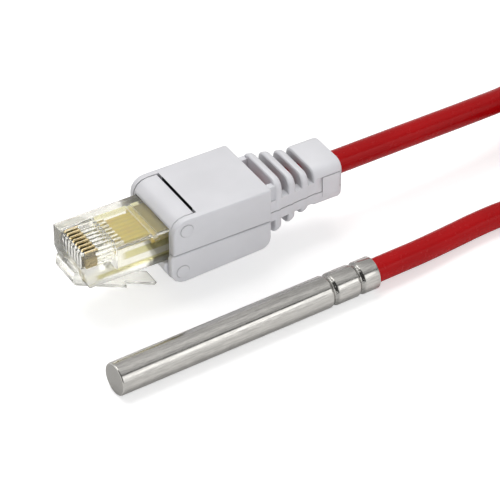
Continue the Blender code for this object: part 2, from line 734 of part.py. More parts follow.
def tail_section(u):
    """The tail's outline at a place along the plug: a rounded box that tapers back."""
    share = (u - TAIL_START) / (COLLAR_START - TAIL_START)
    half = TAIL_START_HALF_WIDTH + share * (TAIL_END_HALF_WIDTH - TAIL_START_HALF_WIDTH)
    top = TAIL_START_TOP + share * (TAIL_END_TOP - TAIL_START_TOP)
    bottom = TAIL_START_BOTTOM + share * (TAIL_END_BOTTOM - TAIL_START_BOTTOM)
    corners = ((-half, bottom), (half, bottom), (half, top), (-half, top))
    ring = outline([(*c, TAIL_CORNER) for c in corners])
    return half, [(u, p.x, p.y) for p in ring]


def collar_section(u):
    half = COLLAR_HALF_WIDTH
    corners = ((-half, COLLAR_BOTTOM), (half, COLLAR_BOTTOM), (half, COLLAR_TOP), (-half, COLLAR_TOP))
    return [(u, p.x, p.y) for p in outline([(*c, COLLAR_CORNER) for c in corners])]


def add_tail(shell, keep):
    """Joins a shell's half of the ribs, the collar and the spines that carry them."""
    upper = keep == "above"
    cut = PARTING + PARTING_GAP / 2 * (1 if upper else -1)
    for i, station in enumerate(RIB_STATIONS):
        ends = (station - RIB_THICKNESS / 2, station + RIB_THICKNESS / 2)
        bm = loft([tail_section(u)[1] for u in ends])
        bevel(bm, end_edges(bm, "X", ends), RIB_EDGE)
        combine(shell, clip(bm, cut, keep), f"{shell.name}_rib_{i + 1}", "UNION")
    bm = loft([collar_section(u) for u in (COLLAR_START, COLLAR_END)])
    bevel(bm, end_edges(bm, "X", (COLLAR_START, COLLAR_END)), COLLAR_EDGE)
    combine(shell, clip(bm, cut, keep), f"{shell.name}_collar", "UNION")

    spine_end = SPINE_TOP if upper else SPINE_BOTTOM
    front_half, back_half = tail_section(TAIL_START)[0], tail_section(COLLAR_START)[0]
    inset = 0.15 * MM
    back = COLLAR_START + COLLAR_EDGE * 2
    spines = bmesh.new()
    for side in (-1, 1):
        plan = [
            (TAIL_START, side * (front_half - inset)), (back, side * (back_half - inset)),
            (back, side * (back_half - SPINE_THICKNESS)),
            (TAIL_START, side * (front_half - SPINE_THICKNESS)),
        ]
        prism(plan, min(cut, spine_end), max(cut, spine_end), "Z", spines)
    combine(shell, spines, f"{shell.name}_spines", "UNION")
    if upper:
        cheeks = bmesh.new()
        cheek_end = RIB_STATIONS[0]
        cheek_half = tail_section(cheek_end)[0] - inset * 2
        for side in (-1, 1):
            sides = sorted((side * cheek_half, side * (cheek_half - SHELL_WALL)))
            low = (TAIL_START, sides[0], cut + inset)
            block(low, (cheek_end, sides[1], CHEEK_TOP), cheeks)
        combine(shell, cheeks, f"{shell.name}_cheeks", "UNION")
    bore = prism(
        circle((0.0, CABLE_CENTRE), CABLE_BORE / 2), SHELL_REAR - 2 * SHELL_WALL,
        COLLAR_END + SHELL_WALL, "X",
    )
    combine(shell, bore, f"{shell.name}_cable_bore")


def make_upper_shell(white, frame):
    """Upper shell: two ears over the carrier's bosses, a roof, and the tail's upper half."""
    half = SHELL_WIDTH / 2
    cut = PARTING + PARTING_GAP / 2
    side_view = outline(
        [
            (UPPER_EAR_FRONT, cut), (UPPER_EAR_FRONT, SHELL_TOP, EAR_ROUNDING),
            (SHELL_REAR, SHELL_TOP, SHELL_REAR_EDGE), (SHELL_REAR, cut),
        ]
    )
    bm = prism(side_view, -half, half, "Y")
    bevel(bm, end_edges(bm, "Y", (-half, half)), SHELL_EDGE)
    shell = add_object("shell_upper", bm, white, frame)
    add_tail(shell, "above")
    reach = SHELL_WALL
    hollow = block(
        (UPPER_EAR_FRONT - reach, -SHELL_INNER_HALF, cut - reach),
        (SHELL_REAR - SHELL_WALL, SHELL_INNER_HALF, SHELL_TOP - SHELL_WALL),
    )
    combine(shell, hollow, "shell_upper_hollow")
    window = block(
        (UPPER_EAR_FRONT - reach, -SHELL_INNER_HALF, cut + reach),
        (BONNET_END + SLIT, SHELL_INNER_HALF, SHELL_TOP + reach),
    )
    combine(shell, window, "bonnet_window")
    holes = prism(circle(UPPER_BOSS, BOSS_RADIUS + FIT / 2, FINE_STEPS), -half - reach, half + reach, "Y")
    combine(shell, holes, "upper_boss_holes")
    recess = bmesh.new()
    for side in (-1, 1):
        sides = sorted((side * (COLLAR_HALF_WIDTH - TAB_DEPTH - FIT), side * (COLLAR_HALF_WIDTH + reach)))
        low = (TAB_START - FIT, sides[0], cut - reach)
        block(low, (TAB_START + TAB_LENGTH + FIT, sides[1], TAB_TOP + FIT), recess)
    combine(shell, recess, "tab_recesses")


def make_lower_shell(white, frame):
    """Lower shell: ears over the lower bosses, a sloping floor, and the tail's lower half."""
    half = SHELL_WIDTH / 2
    cut = PARTING - PARTING_GAP / 2
    side_view = outline(
        [
            (LOWER_EAR_FRONT, cut, LOWER_EAR_CORNER), (SHELL_REAR, cut),
            (SHELL_REAR, BOTTOM_RISE, BOTTOM_REAR_ROUNDING), (LOWER_EAR_FRONT, 0.0, EAR_ROUNDING),
        ]
    )
    bm = prism(side_view, -half, half, "Y")
    bevel(bm, end_edges(bm, "Y", (-half, half)), SHELL_EDGE)
    shell = add_object("shell_lower", bm, white, frame)
    add_tail(shell, "below")
    reach = SHELL_WALL
    slope = BOTTOM_RISE / (SHELL_REAR - LOWER_EAR_FRONT)
    ends = (LOWER_EAR_FRONT - reach, SHELL_REAR - SHELL_WALL)
    floor = [SHELL_WALL + (u - LOWER_EAR_FRONT) * slope for u in ends]
    hollow = prism(
        [(ends[0], floor[0]), (ends[1], floor[1]), (ends[1], cut + reach), (ends[0], cut + reach)],
        -SHELL_INNER_HALF, SHELL_INNER_HALF, "Y",
    )
    combine(shell, hollow, "shell_lower_hollow")
    mouth = block(
        (LOWER_EAR_FRONT - reach, -SHELL_INNER_HALF, -reach),
        (JAW_REAR + 2 * FIT, SHELL_INNER_HALF, SHELL_WALL + BOTTOM_RISE),
    )
    combine(shell, mouth, "jaw_mouth")
    holes = prism(circle(LOWER_BOSS, BOSS_RADIUS + FIT / 2, FINE_STEPS), -half - reach, half + reach, "Y")
    combine(shell, holes, "lower_boss_holes")
    tabs = bmesh.new()
    for side in (-1, 1):
        sides = sorted((side * (COLLAR_HALF_WIDTH - TAB_DEPTH), side * (COLLAR_HALF_WIDTH + FIT)))
        low = (TAB_START, sides[0], cut - TAB_DEPTH)
        block(low, (TAB_START + TAB_LENGTH, sides[1], TAB_TOP), tabs)
    combine(shell, tabs, "collar_tabs", "UNION")


def make_plug_wires(jackets, frame):
    """Three wires from the cable's end up into the terminals above the board."""
    seat_height = CARRIER_TOP - WIRE_GROOVE_RADIUS + WIRE_DIAMETER / 2 + FIT
    chosen = [t for t in terminals() if t[3] > 0][:3]
    for i, ((name, jacket), (number, u, v, side)) in enumerate(zip(jackets, chosen)):
        seat = wire_seat(i)
        start = (JACKET_IN_PLUG - WIRE_GAP, seat[0], CABLE_CENTRE + seat[1])
        end = u + TERMINAL_THICKNESS / 2 + WIRE_GAP
        route = [
            start, (start[0] - 1.2 * MM, start[1], start[2] + 0.3 * MM),
            (CARRIER_REAR + 1.0 * MM, v, seat_height - 0.5 * MM),
            (CARRIER_REAR - 0.6 * MM, v, seat_height), (end, v, seat_height),
        ]
        tube(f"plug_wire_{name}", smooth_route(route, 1.2 * WIRE_DIAMETER), WIRE_DIAMETER, jacket, frame)


def main():
    for old in list(bpy.data.objects):
        bpy.data.objects.remove(old, do_unlink=True)
    steel = material("stainless_steel", (0.62, 0.61, 0.59), 0.28, 1.0)
    red = material("red_jacket", (0.50, 0.012, 0.014), 0.42)
    epoxy = material("black_epoxy", (0.02, 0.02, 0.022), 0.5)
    tin = material("tinned_copper", (0.75, 0.75, 0.74), 0.3, 1.0)
    shrink = material("shrink_tube", (0.03, 0.03, 0.03), 0.6)
    strap_cloth = material("strap_cloth", (0.03, 0.03, 0.032), 0.9)
    clear = material("clear_polycarbonate", (0.93, 0.95, 0.93), 0.05, 0.0, 1.0)
    gold = material("gold_plate", (0.72, 0.50, 0.16), 0.25, 1.0)
    resin = material("yellow_board", (0.52, 0.43, 0.08), 0.45)
    white = material("white_nylon", (0.72, 0.72, 0.75), 0.5)
    jackets = [
        ("power", material("wire_red", (0.45, 0.02, 0.02), 0.45)),
        ("signal", material("wire_yellow", (0.70, 0.50, 0.05), 0.45)),
        ("ground", material("wire_black", (0.02, 0.02, 0.02), 0.45)),
    ]
    make_sleeve(steel)
    make_sensor(epoxy, tin, shrink, jackets)
    make_cable(red)
    make_hank(red)
    make_straps(strap_cloth)

    frame = bpy.data.objects.new("plug_frame", None)
    bpy.context.collection.objects.link(frame)
    frame.location = (*PLUG_FRONT, PLUG_RISE)
    frame.rotation_euler = (0, 0, PLUG_HEADING)
    make_plug_body(clear, frame)
    make_contacts(gold, frame)
    make_board(resin, frame)
    make_terminals(tin, frame)
    make_carrier(white, frame)
    make_upper_shell(white, frame)
    make_lower_shell(white, frame)
    make_plug_wires(jackets, frame)


main()
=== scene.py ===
"""Looks of a steel temperature probe on a red cable with a clear and white plug.

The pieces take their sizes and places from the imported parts, and a few of these are
repeated here.  The script turns them into moulded plastic, drawn steel, gold and a
real cable, and lights them on a white table.
"""

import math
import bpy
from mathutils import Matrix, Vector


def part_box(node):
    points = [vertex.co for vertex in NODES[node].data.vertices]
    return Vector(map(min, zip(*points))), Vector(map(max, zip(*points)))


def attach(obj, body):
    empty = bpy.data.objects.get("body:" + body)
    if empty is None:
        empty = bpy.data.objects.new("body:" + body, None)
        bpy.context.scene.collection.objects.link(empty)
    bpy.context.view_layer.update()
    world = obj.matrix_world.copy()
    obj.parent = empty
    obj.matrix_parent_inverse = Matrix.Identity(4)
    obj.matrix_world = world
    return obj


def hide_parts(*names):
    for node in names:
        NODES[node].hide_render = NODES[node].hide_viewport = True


bl_info = {
    "name": "Temperature probe looks",
    "version": (1, 0),
    "blender": (4, 5, 0),
    "location": "View3D > Sidebar > Probe",
    "description": "Builds the finish of a cabled temperature probe around its packed parts",
    "category": "Object",
}

import bmesh
import bpy
from mathutils import Matrix, Vector

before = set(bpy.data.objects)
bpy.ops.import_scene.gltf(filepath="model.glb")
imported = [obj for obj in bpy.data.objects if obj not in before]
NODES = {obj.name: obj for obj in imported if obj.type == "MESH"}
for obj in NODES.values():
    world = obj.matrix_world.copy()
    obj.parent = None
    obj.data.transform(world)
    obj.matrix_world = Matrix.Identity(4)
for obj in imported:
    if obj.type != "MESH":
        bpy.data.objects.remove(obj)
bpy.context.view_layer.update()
SLEEVE_LOW, SLEEVE_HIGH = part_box("probe_sleeve")
HANK_LOW, HANK_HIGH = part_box("cable_hank")
BODY = "root"
MM = 0.001
WIRES = ("power", "signal", "ground")
CONTACTS = range(1, 9)
STRAPS = (1, 2)

# Points this close are merged, folds this flat are dissolved, and sharper ones stay sharp
MERGE = 0.0005 * MM
FLAT = math.radians(0.5)
CREASE = math.radians(32)

# The cable's two free stretches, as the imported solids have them, from the ends
# held in the sleeve and in the plug to the hank
PROBE_END_ROUTE = (
    (0.0113, 0.0, 0.0030), (0.0190, 0.0, 0.0030), (0.0263, 0.0, 0.0030), (0.0315, 0.0001, 0.00295),
    (0.0370, 0.0004, 0.0027), (0.0440, 0.0011, 0.00235), (0.0500, 0.00155, 0.0023),
    (0.0557, 0.0016, 0.0023), (0.0620, 0.0010, 0.0023), (0.0690, -0.0008, 0.0025),
    (0.0731, -0.00218, 0.0026),
)
PLUG_END_ROUTE = (
    (0.0140, 0.02194, 0.0110), (0.0230, 0.0216, 0.0110), (0.0318, 0.02125, 0.0110),
    (0.0390, 0.0211, 0.01098), (0.0480, 0.0211, 0.0108), (0.0581, 0.0214, 0.0103),
    (0.0650, 0.0217, 0.0099), (0.0700, 0.0222, 0.0094), (0.0726, 0.0227, 0.00905),
)
INTO_HANK = ((0.0785, -0.0041, 0.0028), (0.0845, -0.0059, 0.0029))
OUT_OF_HANK = ((0.0880, 0.0288, 0.0075), (0.0820, 0.0267, 0.0079), (0.0762, 0.0238, 0.0086))
PLUG_PIECES = (
    "plug_body", *(f"contact_{i}" for i in CONTACTS), "contact_board", "plug_carrier",
    "shell_upper", "shell_lower", *(f"plug_wire_{kind}" for kind in WIRES),
)
PLUG_HEADING = math.radians(-2.2)
PLUG_FRONT = (-20.2 * MM, 23.25 * MM, 3.5 * MM)

# Places on the plug that its finishes follow: along it from the front of the clear
# body, to either side of its middle, and up from the underside of its shells
CONTACT_PITCH = 1.02 * MM
CONTACT_OUTER_FACE = 3.78 * MM
CONTACT_BLADE_END = (2.95 * MM, 3.15 * MM)
WEBS_ALONG = (0.3 * MM, 5.9 * MM)
WEBS_UP = (7.9 * MM, 11.1 * MM)
WEBS_HALF_WIDTH = 4.2 * MM
# Where the board's painted reflection lies on the clear body's side walls, and how high its two bands
# are
PAINTED_REFLECTION_SIDE = (5.6 * MM, 5.8 * MM)
LOW_PAINTED_REFLECTION_UP = 6.4 * MM
HIGH_PAINTED_REFLECTION_UP = 9.0 * MM
PRESS_RIB_ALONG = (12.95 * MM, 13.95 * MM)
PRESS_RIB_UP = (9.5 * MM, 10.1 * MM)
BOARD_REAR_START = (13.6 * MM, 14.2 * MM)
SLIT_ALONG = (20.255 * MM, 20.795 * MM)
SLIT_HALF_WIDTH = 5.2 * MM
SLIT_LOWEST = 8.0 * MM

# Rolled grooves on the sleeve
GROOVES_FROM_MOUTH = (3.7 * MM, 9.3 * MM)
GROOVE_DENT_RELIEF = 14.0


class CableSettings(bpy.types.PropertyGroup):
    """Sizes and colour of the cable and of the hank it is folded into."""

    diameter: bpy.props.FloatProperty(
        name="Diameter", description="Outside diameter of the jacket",
        default=4.5 * MM, unit="LENGTH",
    )
    length: bpy.props.FloatProperty(
        name="Length", description="Real length from the sleeve's mouth to the plug",
        default=1.0, unit="LENGTH",
    )
    shift: bpy.props.FloatProperty(
        name="Shift", description="Angle of a fold over which a turn moves to its next place",
        default=math.radians(105), subtype="ANGLE",
    )
    colour: bpy.props.FloatVectorProperty(
        name="Jacket", description="Colour of the jacket", subtype="COLOR",
        default=(0.45, 0.003, 0.005),
    )


class SleeveSettings(bpy.types.PropertyGroup):
    """Sizes and colour of the steel sleeve."""

    tip_thickness: bpy.props.FloatProperty(
        name="Tip", description="Thickness of the closed tip", default=0.8 * MM, unit="LENGTH",
    )
    wall: bpy.props.FloatProperty(
        name="Wall", description="Thickness of the tube's wall", default=0.4 * MM, unit="LENGTH",
    )
    tip_rounding: bpy.props.FloatProperty(
        name="Tip rounding", description="Radius of the tip's edge",
        default=0.4 * MM, unit="LENGTH",
    )
    groove_width: bpy.props.FloatProperty(
        name="Groove", description="Width of a rolled groove", default=1.6 * MM, unit="LENGTH",
    )
    colour: bpy.props.FloatVectorProperty(
        name="Steel", description="Colour of the steel", subtype="COLOR",
        default=(0.60, 0.585, 0.555),
    )


class PlugSettings(bpy.types.PropertyGroup):
    """Colours of the plug's plastics and metals."""

    white: bpy.props.FloatVectorProperty(
        name="Shells", description="Colour of the white mouldings", subtype="COLOR",
        default=(0.76, 0.76, 0.79),
    )
    clear: bpy.props.FloatVectorProperty(
        name="Plug body", description="Tint of the clear plastic", subtype="COLOR",
        default=(0.985, 0.98, 0.93),
    )
    board: bpy.props.FloatVectorProperty(
        name="Board", description="Colour of the circuit board", subtype="COLOR",
        default=(0.47, 0.36, 0.003),
    )
    gold: bpy.props.FloatVectorProperty(
        name="Gold", description="Colour of the plated contacts", subtype="COLOR",
        default=(1.0, 0.80, 0.42),
    )
    tin: bpy.props.FloatVectorProperty(
        name="Tin", description="Colour of the contacts' legs", subtype="COLOR",
        default=(0.86, 0.84, 0.76),
    )


class StageSettings(bpy.types.PropertyGroup):
    """Camera and table."""

    azimuth: bpy.props.FloatProperty(
        name="Azimuth", description="Turn of the camera round the probe",
        default=math.radians(33.4), subtype="ANGLE",
    )
    elevation: bpy.props.FloatProperty(
        name="Elevation", description="Height of the camera over the table",
        default=math.radians(38.36), subtype="ANGLE",
    )
    distance: bpy.props.FloatProperty(
        name="Distance", description="From the camera to its target",
        default=529.1 * MM, unit="LENGTH",
    )
    lens: bpy.props.FloatProperty(
        name="Lens", description="Focal length in millimetres on a 36 mm sensor", default=215.9,
    )
    table_size: bpy.props.FloatProperty(
        name="Table", description="Side of the table top", default=3.0, unit="LENGTH",
    )


class Value:
    """A number or colour inside a material.  Arithmetic on it adds Math nodes."""

    def __init__(self, finish, socket):
        self.finish = finish
        self.socket = socket

    def math(self, operation, *others):
        """This value and any others through one Math node."""
        sockets = dict(enumerate((self, *others)))
        return self.finish.node("ShaderNodeMath", {"operation": operation}, sockets)

    def __add__(self, other):
        return self.math("ADD", other)

    def __sub__(self, other):
        return self.math("SUBTRACT", other)

    def __rsub__(self, other):
        return self * -1 + other

    def __mul__(self, other):
        return self.math("MULTIPLY", other)

    def __truediv__(self, other):
        return self.math("DIVIDE", other)

    __radd__ = __add__
    __rmul__ = __mul__

    def between(self, low, high):
        """0 below one value and 1 above the other, with a smooth rise."""
        settings = {"interpolation_type": "SMOOTHSTEP"}
        sockets = {"Value": self, "From Min": low, "From Max": high}
        return self.finish.node("ShaderNodeMapRange", settings, sockets)

    def near(self, place, full, none):
        """1 up to one distance from a place, with a smooth fall to 0 at another."""
        return 1 - (self - place).math("ABSOLUTE").between(full, none)

    def inside(self, low, high):
        """1 between two values and 0 outside them, with no slope."""
        return self.math("GREATER_THAN", low) * self.math("LESS_THAN", high)


class Finish:
    """A material under construction: its Principled shader and the nodes that feed it."""

    def __init__(self, name, colour, metallic=0.0):
        self.material = bpy.data.materials.new(name)
        self.material.use_nodes = True
        self.tree = self.material.node_tree
        self.shader = self.tree.nodes["Principled BSDF"]
        self.set("Base Color", (*colour, 1.0))
        self.set("Metallic", metallic)

    def set(self, socket, value):
        """Gives a socket of the shader a number, a colour or a Value."""
        self.feed(self.shader.inputs[socket], value)

    def feed(self, socket, value):
        """Gives any node's socket a number, a colour or a Value."""
        if isinstance(value, Value):
            self.tree.links.new(value.socket, socket)
        else:
            socket.default_value = value

    def node(self, kind, settings=None, sockets=None, output=0):
        """Any node, by its type, its settings and what its sockets hold."""
        made = self.tree.nodes.new(kind)
        for key, value in (settings or {}).items():
            setattr(made, key, value)
        for key, value in (sockets or {}).items():
            self.feed(made.inputs[key], value)
        return Value(self, made.outputs[output])

    def place(self, scale=(1, 1, 1), origin=(0, 0, 0), turn=0.0):
        """Object coordinates, moved to an origin, turned about Z and scaled."""
        here = self.node("ShaderNodeTexCoord", output="Object")
        sockets = {0: here, 1: origin}
        moved = self.node("ShaderNodeVectorMath", {"operation": "SUBTRACT"}, sockets)
        sockets = {"Vector": moved, "Rotation": (0, 0, -turn), "Scale": scale}
        return self.node("ShaderNodeMapping", None, sockets)

    def on_plug(self, scale=(1, 1, 1)):
        """Object coordinates that run along, across and up the plug."""
        return self.place(scale, PLUG_FRONT, PLUG_HEADING)

    def axes(self, where):
        """The three parts of a place, as Values."""
        along_x = self.node("ShaderNodeSeparateXYZ", None, {0: where})
        return [Value(self, part) for part in along_x.socket.node.outputs]

    def noise(self, where, scale, detail=3.0, rough=0.55, distortion=0.0):
        """Clouds or grain, by how many there are in a metre."""
        sockets = {
            "Vector": where, "Scale": scale, "Detail": detail, "Roughness": rough,
            "Distortion": distortion,
        }
        return self.node("ShaderNodeTexNoise", None, sockets)

    def mix(self, factor, first, second):
        """One colour turning into another."""
        first, second = (c if isinstance(c, Value) else (*c, 1.0) for c in (first, second))
        sockets = {0: factor, 6: first, 7: second}
        return self.node("ShaderNodeMix", {"data_type": "RGBA"}, sockets, 2)

    def bump(self, height, depth, strength=1.0, normal=None):
        """Lets a height pattern stand that many metres proud."""
        sockets = {"Height": height, "Distance": depth, "Strength": strength}
        if normal:
            sockets["Normal"] = normal
        self.set("Normal", self.node("ShaderNodeBump", None, sockets))

    def soft_edges(self, radius):
        """Normals that round every edge off by a radius."""
        return self.node("ShaderNodeBevel", {"samples": 6}, {"Radius": radius})


def toned(colour, share):
    """A colour at a share of its lightness."""
    return [share * c for c in colour]


def drawn_steel(settings):
    """Stainless tube: fine lengthwise draw lines, dented grooves whose dents carry painted shade, and a
    duller tip.
    """
    steel = settings.colour
    made = Finish("drawn_steel", steel, 1.0)
    lines = made.noise(made.place((14, 900, 900)), 5.0, 4.0, 0.6)
    fine = made.noise(made.place((420, 3600, 3600)), 1.0, 3.0, 0.6)
    where = made.place()
    cloud = made.noise(where, 160.0, 3.0)
    dents = made.noise(where, 1500.0, 2.0, 0.6)
    along = made.axes(where)[0]
    tip = 1 - along.between(SLEEVE_LOW.x + 0.02 * MM, SLEEVE_LOW.x + 0.12 * MM)
    places = [SLEEVE_HIGH.x - from_mouth for from_mouth in GROOVES_FROM_MOUTH]
    # Dents in the rolled grooves: bumped, and their colour darkened as painted shade
    dents_and_painted_shade = sum(along.near(place, 0.3 * MM, 0.8 * MM) for place in places) * dents
    tone = made.mix(lines.between(0.3, 0.7), toned(steel, 0.84), steel)
    tone = made.mix(fine.between(0.35, 0.65), tone, toned(steel, 1.10))
    tone = made.mix(0.7 * tip, tone, toned(steel, 0.55))
    # Painted shade: the groove dents darken towards a fifth of the steel's lightness
    made.set("Base Color", made.mix(0.6 * dents_and_painted_shade, tone, toned(steel, 0.2)))
    made.set("Roughness", 0.12 + 0.08 * lines + 0.05 * cloud + 0.2 * tip)
    made.bump(0.5 * lines + 0.5 * fine + GROOVE_DENT_RELIEF * dents_and_painted_shade, 0.008 * MM, 0.9)
    made.set("Anisotropic", 0.35)
    return made.material


def cable_jacket(settings):
    """Smooth red jacket with the faint ripple of its extrusion."""
    red = settings.colour
    made = Finish("red_jacket", red)
    where = made.place()
    ripple = made.noise(where, 900.0, 3.0)
    cloud = made.noise(where, 70.0, 2.0)
    made.set("Base Color", made.mix(cloud.between(0.3, 0.75), toned(red, 0.82), red))
    made.set("Roughness", 0.20 + 0.12 * ripple)
    made.bump(ripple, 0.02 * MM, 0.25)
    made.set("Specular IOR Level", 0.16)
    return made.material


def moulded_white(settings):
    """White nylon: an even spark-eroded skin, barely clouded, with soft edges.

    Narrow gaps between mouldings are darkened as painted shade by an occlusion node,
    and the slit behind the bonnet is painted near-black as its shade.
    """
    white = settings.white
    # Near-black painted into the slit behind the bonnet as its shade
    painted_slit_shade = (0.012, 0.012, 0.014)
    made = Finish("white_nylon", white)
    where = made.place()
    grain = made.noise(where, 5200.0, 2.0, 0.6)
    cloud = made.noise(where, 120.0, 2.0)
    along, across, height = made.axes(made.on_plug())
    slit = along.inside(*SLIT_ALONG) * height.math("GREATER_THAN", SLIT_LOWEST)
    slit = slit * across.math("ABSOLUTE").math("LESS_THAN", SLIT_HALF_WIDTH)
    reach = {"Distance": 2.2 * MM}
    occlusion_for_painted_shade = made.node("ShaderNodeAmbientOcclusion", {"samples": 8}, reach, "AO")
    tone = made.mix(cloud.between(0.35, 0.7), toned(white, 0.955), white)
    # Painted shade: gaps and crevices darken towards 62 percent of the white, by an occlusion node
    tone = made.mix(occlusion_for_painted_shade.between(0.10, 0.85), toned(white, 0.62), tone)
    # Painted shade: the walls in the slit behind the bonnet turn near-black
    made.set("Base Color", made.mix(slit, tone, painted_slit_shade))
    made.set("Roughness", 0.40 + 0.14 * grain)
    made.bump(grain, 0.012 * MM, 0.5, made.soft_edges(0.16 * MM))
    made.set("Subsurface Weight", 0.12)
    made.set("Subsurface Radius", (1.0, 1.0, 1.0))
    made.set("Subsurface Scale", 0.8 * MM)
    return made.material


def clear_plastic(settings):
    """Clear polycarbonate with faint flow lines from the mould.

    The outer side walls carry a painted reflection of the board, olive, in two bands,
    the thin webs between the contacts show only at their front, and the rib that
    presses on the board is frosted.
    """
    olive = (0.56, 0.51, 0.20)
    made = Finish("clear_polycarbonate", settings.clear)
    flow = made.noise(made.on_plug((60, 260, 260)), 6.0, 3.0, 0.5, 0.4)
    along, across, height = made.axes(made.on_plug())
    across = across.math("ABSOLUTE")
    low_painted_reflection = height.near(LOW_PAINTED_REFLECTION_UP, 0.3 * MM, 0.7 * MM)
    high_painted_reflection = height.near(HIGH_PAINTED_REFLECTION_UP, 0.6 * MM, 1.0 * MM)
    high_painted_reflection = high_painted_reflection * along.between(6.0 * MM, 7.5 * MM)
    side = across.between(*PAINTED_REFLECTION_SIDE) * along.between(1.0 * MM, 2.0 * MM)
    webs = across.math("LESS_THAN", WEBS_HALF_WIDTH) * height.inside(*WEBS_UP)
    rib = along.inside(*PRESS_RIB_ALONG) * height.inside(*PRESS_RIB_UP)
    # Painted reflection: two olive bands on the outer side walls stand for the board seen in them
    made.set("Base Color", made.mix((low_painted_reflection + high_painted_reflection) * side, settings.clear, olive))
    made.set("Alpha", 1 - webs * along.inside(*WEBS_ALONG))
    made.set("Transmission Weight", 0.92)
    made.set("IOR", 1.34)
    made.set("Roughness", 0.08 + 0.10 * flow + 0.45 * rib)
    made.bump(flow, 0.05 * MM, 0.5)
    return made.material


def gold_plate(settings):
    """Gold on the contact edges, painted shade on the sides below them, lighter on the outermost faces,
    and tin on the legs.
    """
    gold = settings.gold
    made = Finish("gold_plate", gold, 1.0)
    lines = made.noise(made.on_plug((300, 2600, 2600)), 3.0, 3.0)
    along, across, height = made.axes(made.on_plug())
    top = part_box("contact_1")[1].z - PLUG_FRONT[2]
    # Painted shade on the contacts' sides below their top edges
    painted_side_shade = 1 - height.between(top - 0.75 * MM, top - 0.35 * MM)
    outermost = across.math("ABSOLUTE").math("GREATER_THAN", CONTACT_OUTER_FACE)
    tone = made.mix(lines.between(0.25, 0.75), toned(gold, 0.85), gold)
    # Painted shade: the sides go near-black between contacts, and the outermost contacts' outer faces
    # only half as dark
    tone = made.mix(painted_side_shade, tone, toned(gold, 0.10))
    tone = made.mix(outermost * painted_side_shade, tone, toned(gold, 0.45))
    made.set("Base Color", made.mix(along.between(*CONTACT_BLADE_END), tone, settings.tin))
    made.set("Roughness", 0.20 + 0.16 * lines)
    made.bump(lines, 0.006 * MM, 0.6)
    return made.material


def board_resin(settings):
    """Board under a translucent yellow resist: buried tracks and a fine glass weave.

    Behind the press rib, where the bonnet shades it, the board is darker.
    """
    yellow = settings.board
    pale = toned(yellow, 1.28)
    amber = (yellow[0] * 1.05, yellow[1] * 0.80, yellow[2] * 0.55)
    olive = (yellow[0] * 0.48, yellow[1] * 0.48, yellow[2])
    made = Finish("board_resin", yellow)
    where = made.on_plug()
    along, across, _ = made.axes(where)
    cloud = made.noise(where, 420.0, 3.0)
    from_middle = ((across / CONTACT_PITCH + 0.5).math("FRACT") - 0.5).math("ABSOLUTE")
    track = 1 - from_middle.between(0.26, 0.34)
    glass = {"Vector": where, "Scale": 900.0, "Distortion": 1.5, "Detail": 2.0}
    weave = made.node("ShaderNodeTexWave", {"bands_direction": "DIAGONAL"}, glass)
    tone = made.mix(0.8 * track, yellow, pale)
    tone = made.mix(0.4 * cloud.between(0.50, 0.64), tone, amber)
    tone = made.mix(0.9 * along.between(*BOARD_REAR_START), tone, olive)
    made.set("Base Color", made.mix(0.12 * weave, tone, pale))
    made.set("Roughness", 0.28 + 0.12 * weave)
    made.bump(track + 0.1 * weave, 0.03 * MM, 0.5)
    return made.material


def tinned_metal():
    """Tin with a faintly frosted skin, on the sensor's legs and the terminals."""
    made = Finish("tinned_metal", (0.72, 0.72, 0.71), 1.0)
    frost = made.noise(made.place(), 2400.0, 3.0)
    made.set("Roughness", 0.22 + 0.2 * frost)
    made.bump(frost, 0.01 * MM, 0.5)
    return made.material


def moulded_epoxy():
    """Black moulding compound with a fine grain, on the sensor's case."""
    made = Finish("black_epoxy", (0.022, 0.022, 0.024))
    grain = made.noise(made.place(), 3600.0, 3.0)
    made.set("Roughness", 0.42 + 0.2 * grain)
    made.bump(grain, 0.02 * MM, 0.6)
    return made.material


def shrink_rubber():
    """Black shrink tube with a skin drawn out along it."""
    made = Finish("shrink_tube", (0.028, 0.028, 0.03))
    skin = made.noise(made.place((200, 2000, 2000)), 2.0, 2.0)
    made.set("Roughness", 0.5 + 0.2 * skin)
    made.bump(skin, 0.02 * MM, 0.5)
    return made.material


def wire_jacket(name, colour):
    """Thin insulation of one colour, barely uneven."""
    made = Finish(name, colour)
    skin = made.noise(made.place(), 1500.0, 2.0)
    made.set("Base Color", made.mix(skin, toned(colour, 0.85), colour))
    made.set("Roughness", 0.34 + 0.16 * skin)
    made.bump(skin, 0.01 * MM, 0.5)
    return made.material


def strap_cloth():
    """Black hook-and-loop strap: a nap of tiny loops over a ribbed ground."""
    ground, worn = (0.012, 0.012, 0.013), (0.06, 0.06, 0.064)
    made = Finish("strap_cloth", ground)
    where = made.place()
    nap = made.noise(where, 2600.0, 4.0, 0.7)
    ribs = made.node("ShaderNodeTexVoronoi", None, {"Vector": where, "Scale": 2200.0})
    made.set("Base Color", made.mix(nap.between(0.35, 0.8), ground, worn))
    made.set("Roughness", 0.82 + 0.14 * nap)
    made.bump(0.6 * nap + 0.4 * ribs, 0.18 * MM, 0.9)
    made.set("Sheen Weight", 0.35)
    return made.material


def table_top():
    """White table that the camera sees as white, with the lamps' shadows on it."""
    added_light = (0.48, 0.48, 0.48)
    made = Finish("white_table", (0.86, 0.86, 0.86))
    speck = made.noise(made.place(), 40.0, 2.0)
    made.set("Base Color", made.mix(speck, (0.85, 0.85, 0.85), (0.87, 0.87, 0.87)))
    made.set("Roughness", 0.8)
    made.set("Specular IOR Level", 0.15)
    seen = made.node("ShaderNodeLightPath", output="Is Camera Ray")
    through = made.node("ShaderNodeLightPath", output="Is Transmission Ray")
    glow = made.mix(seen.math("MAXIMUM", through), (0.0, 0.0, 0.0), added_light)
    made.set("Emission Color", glow)
    made.set("Emission Strength", 1.0)
    return made.material


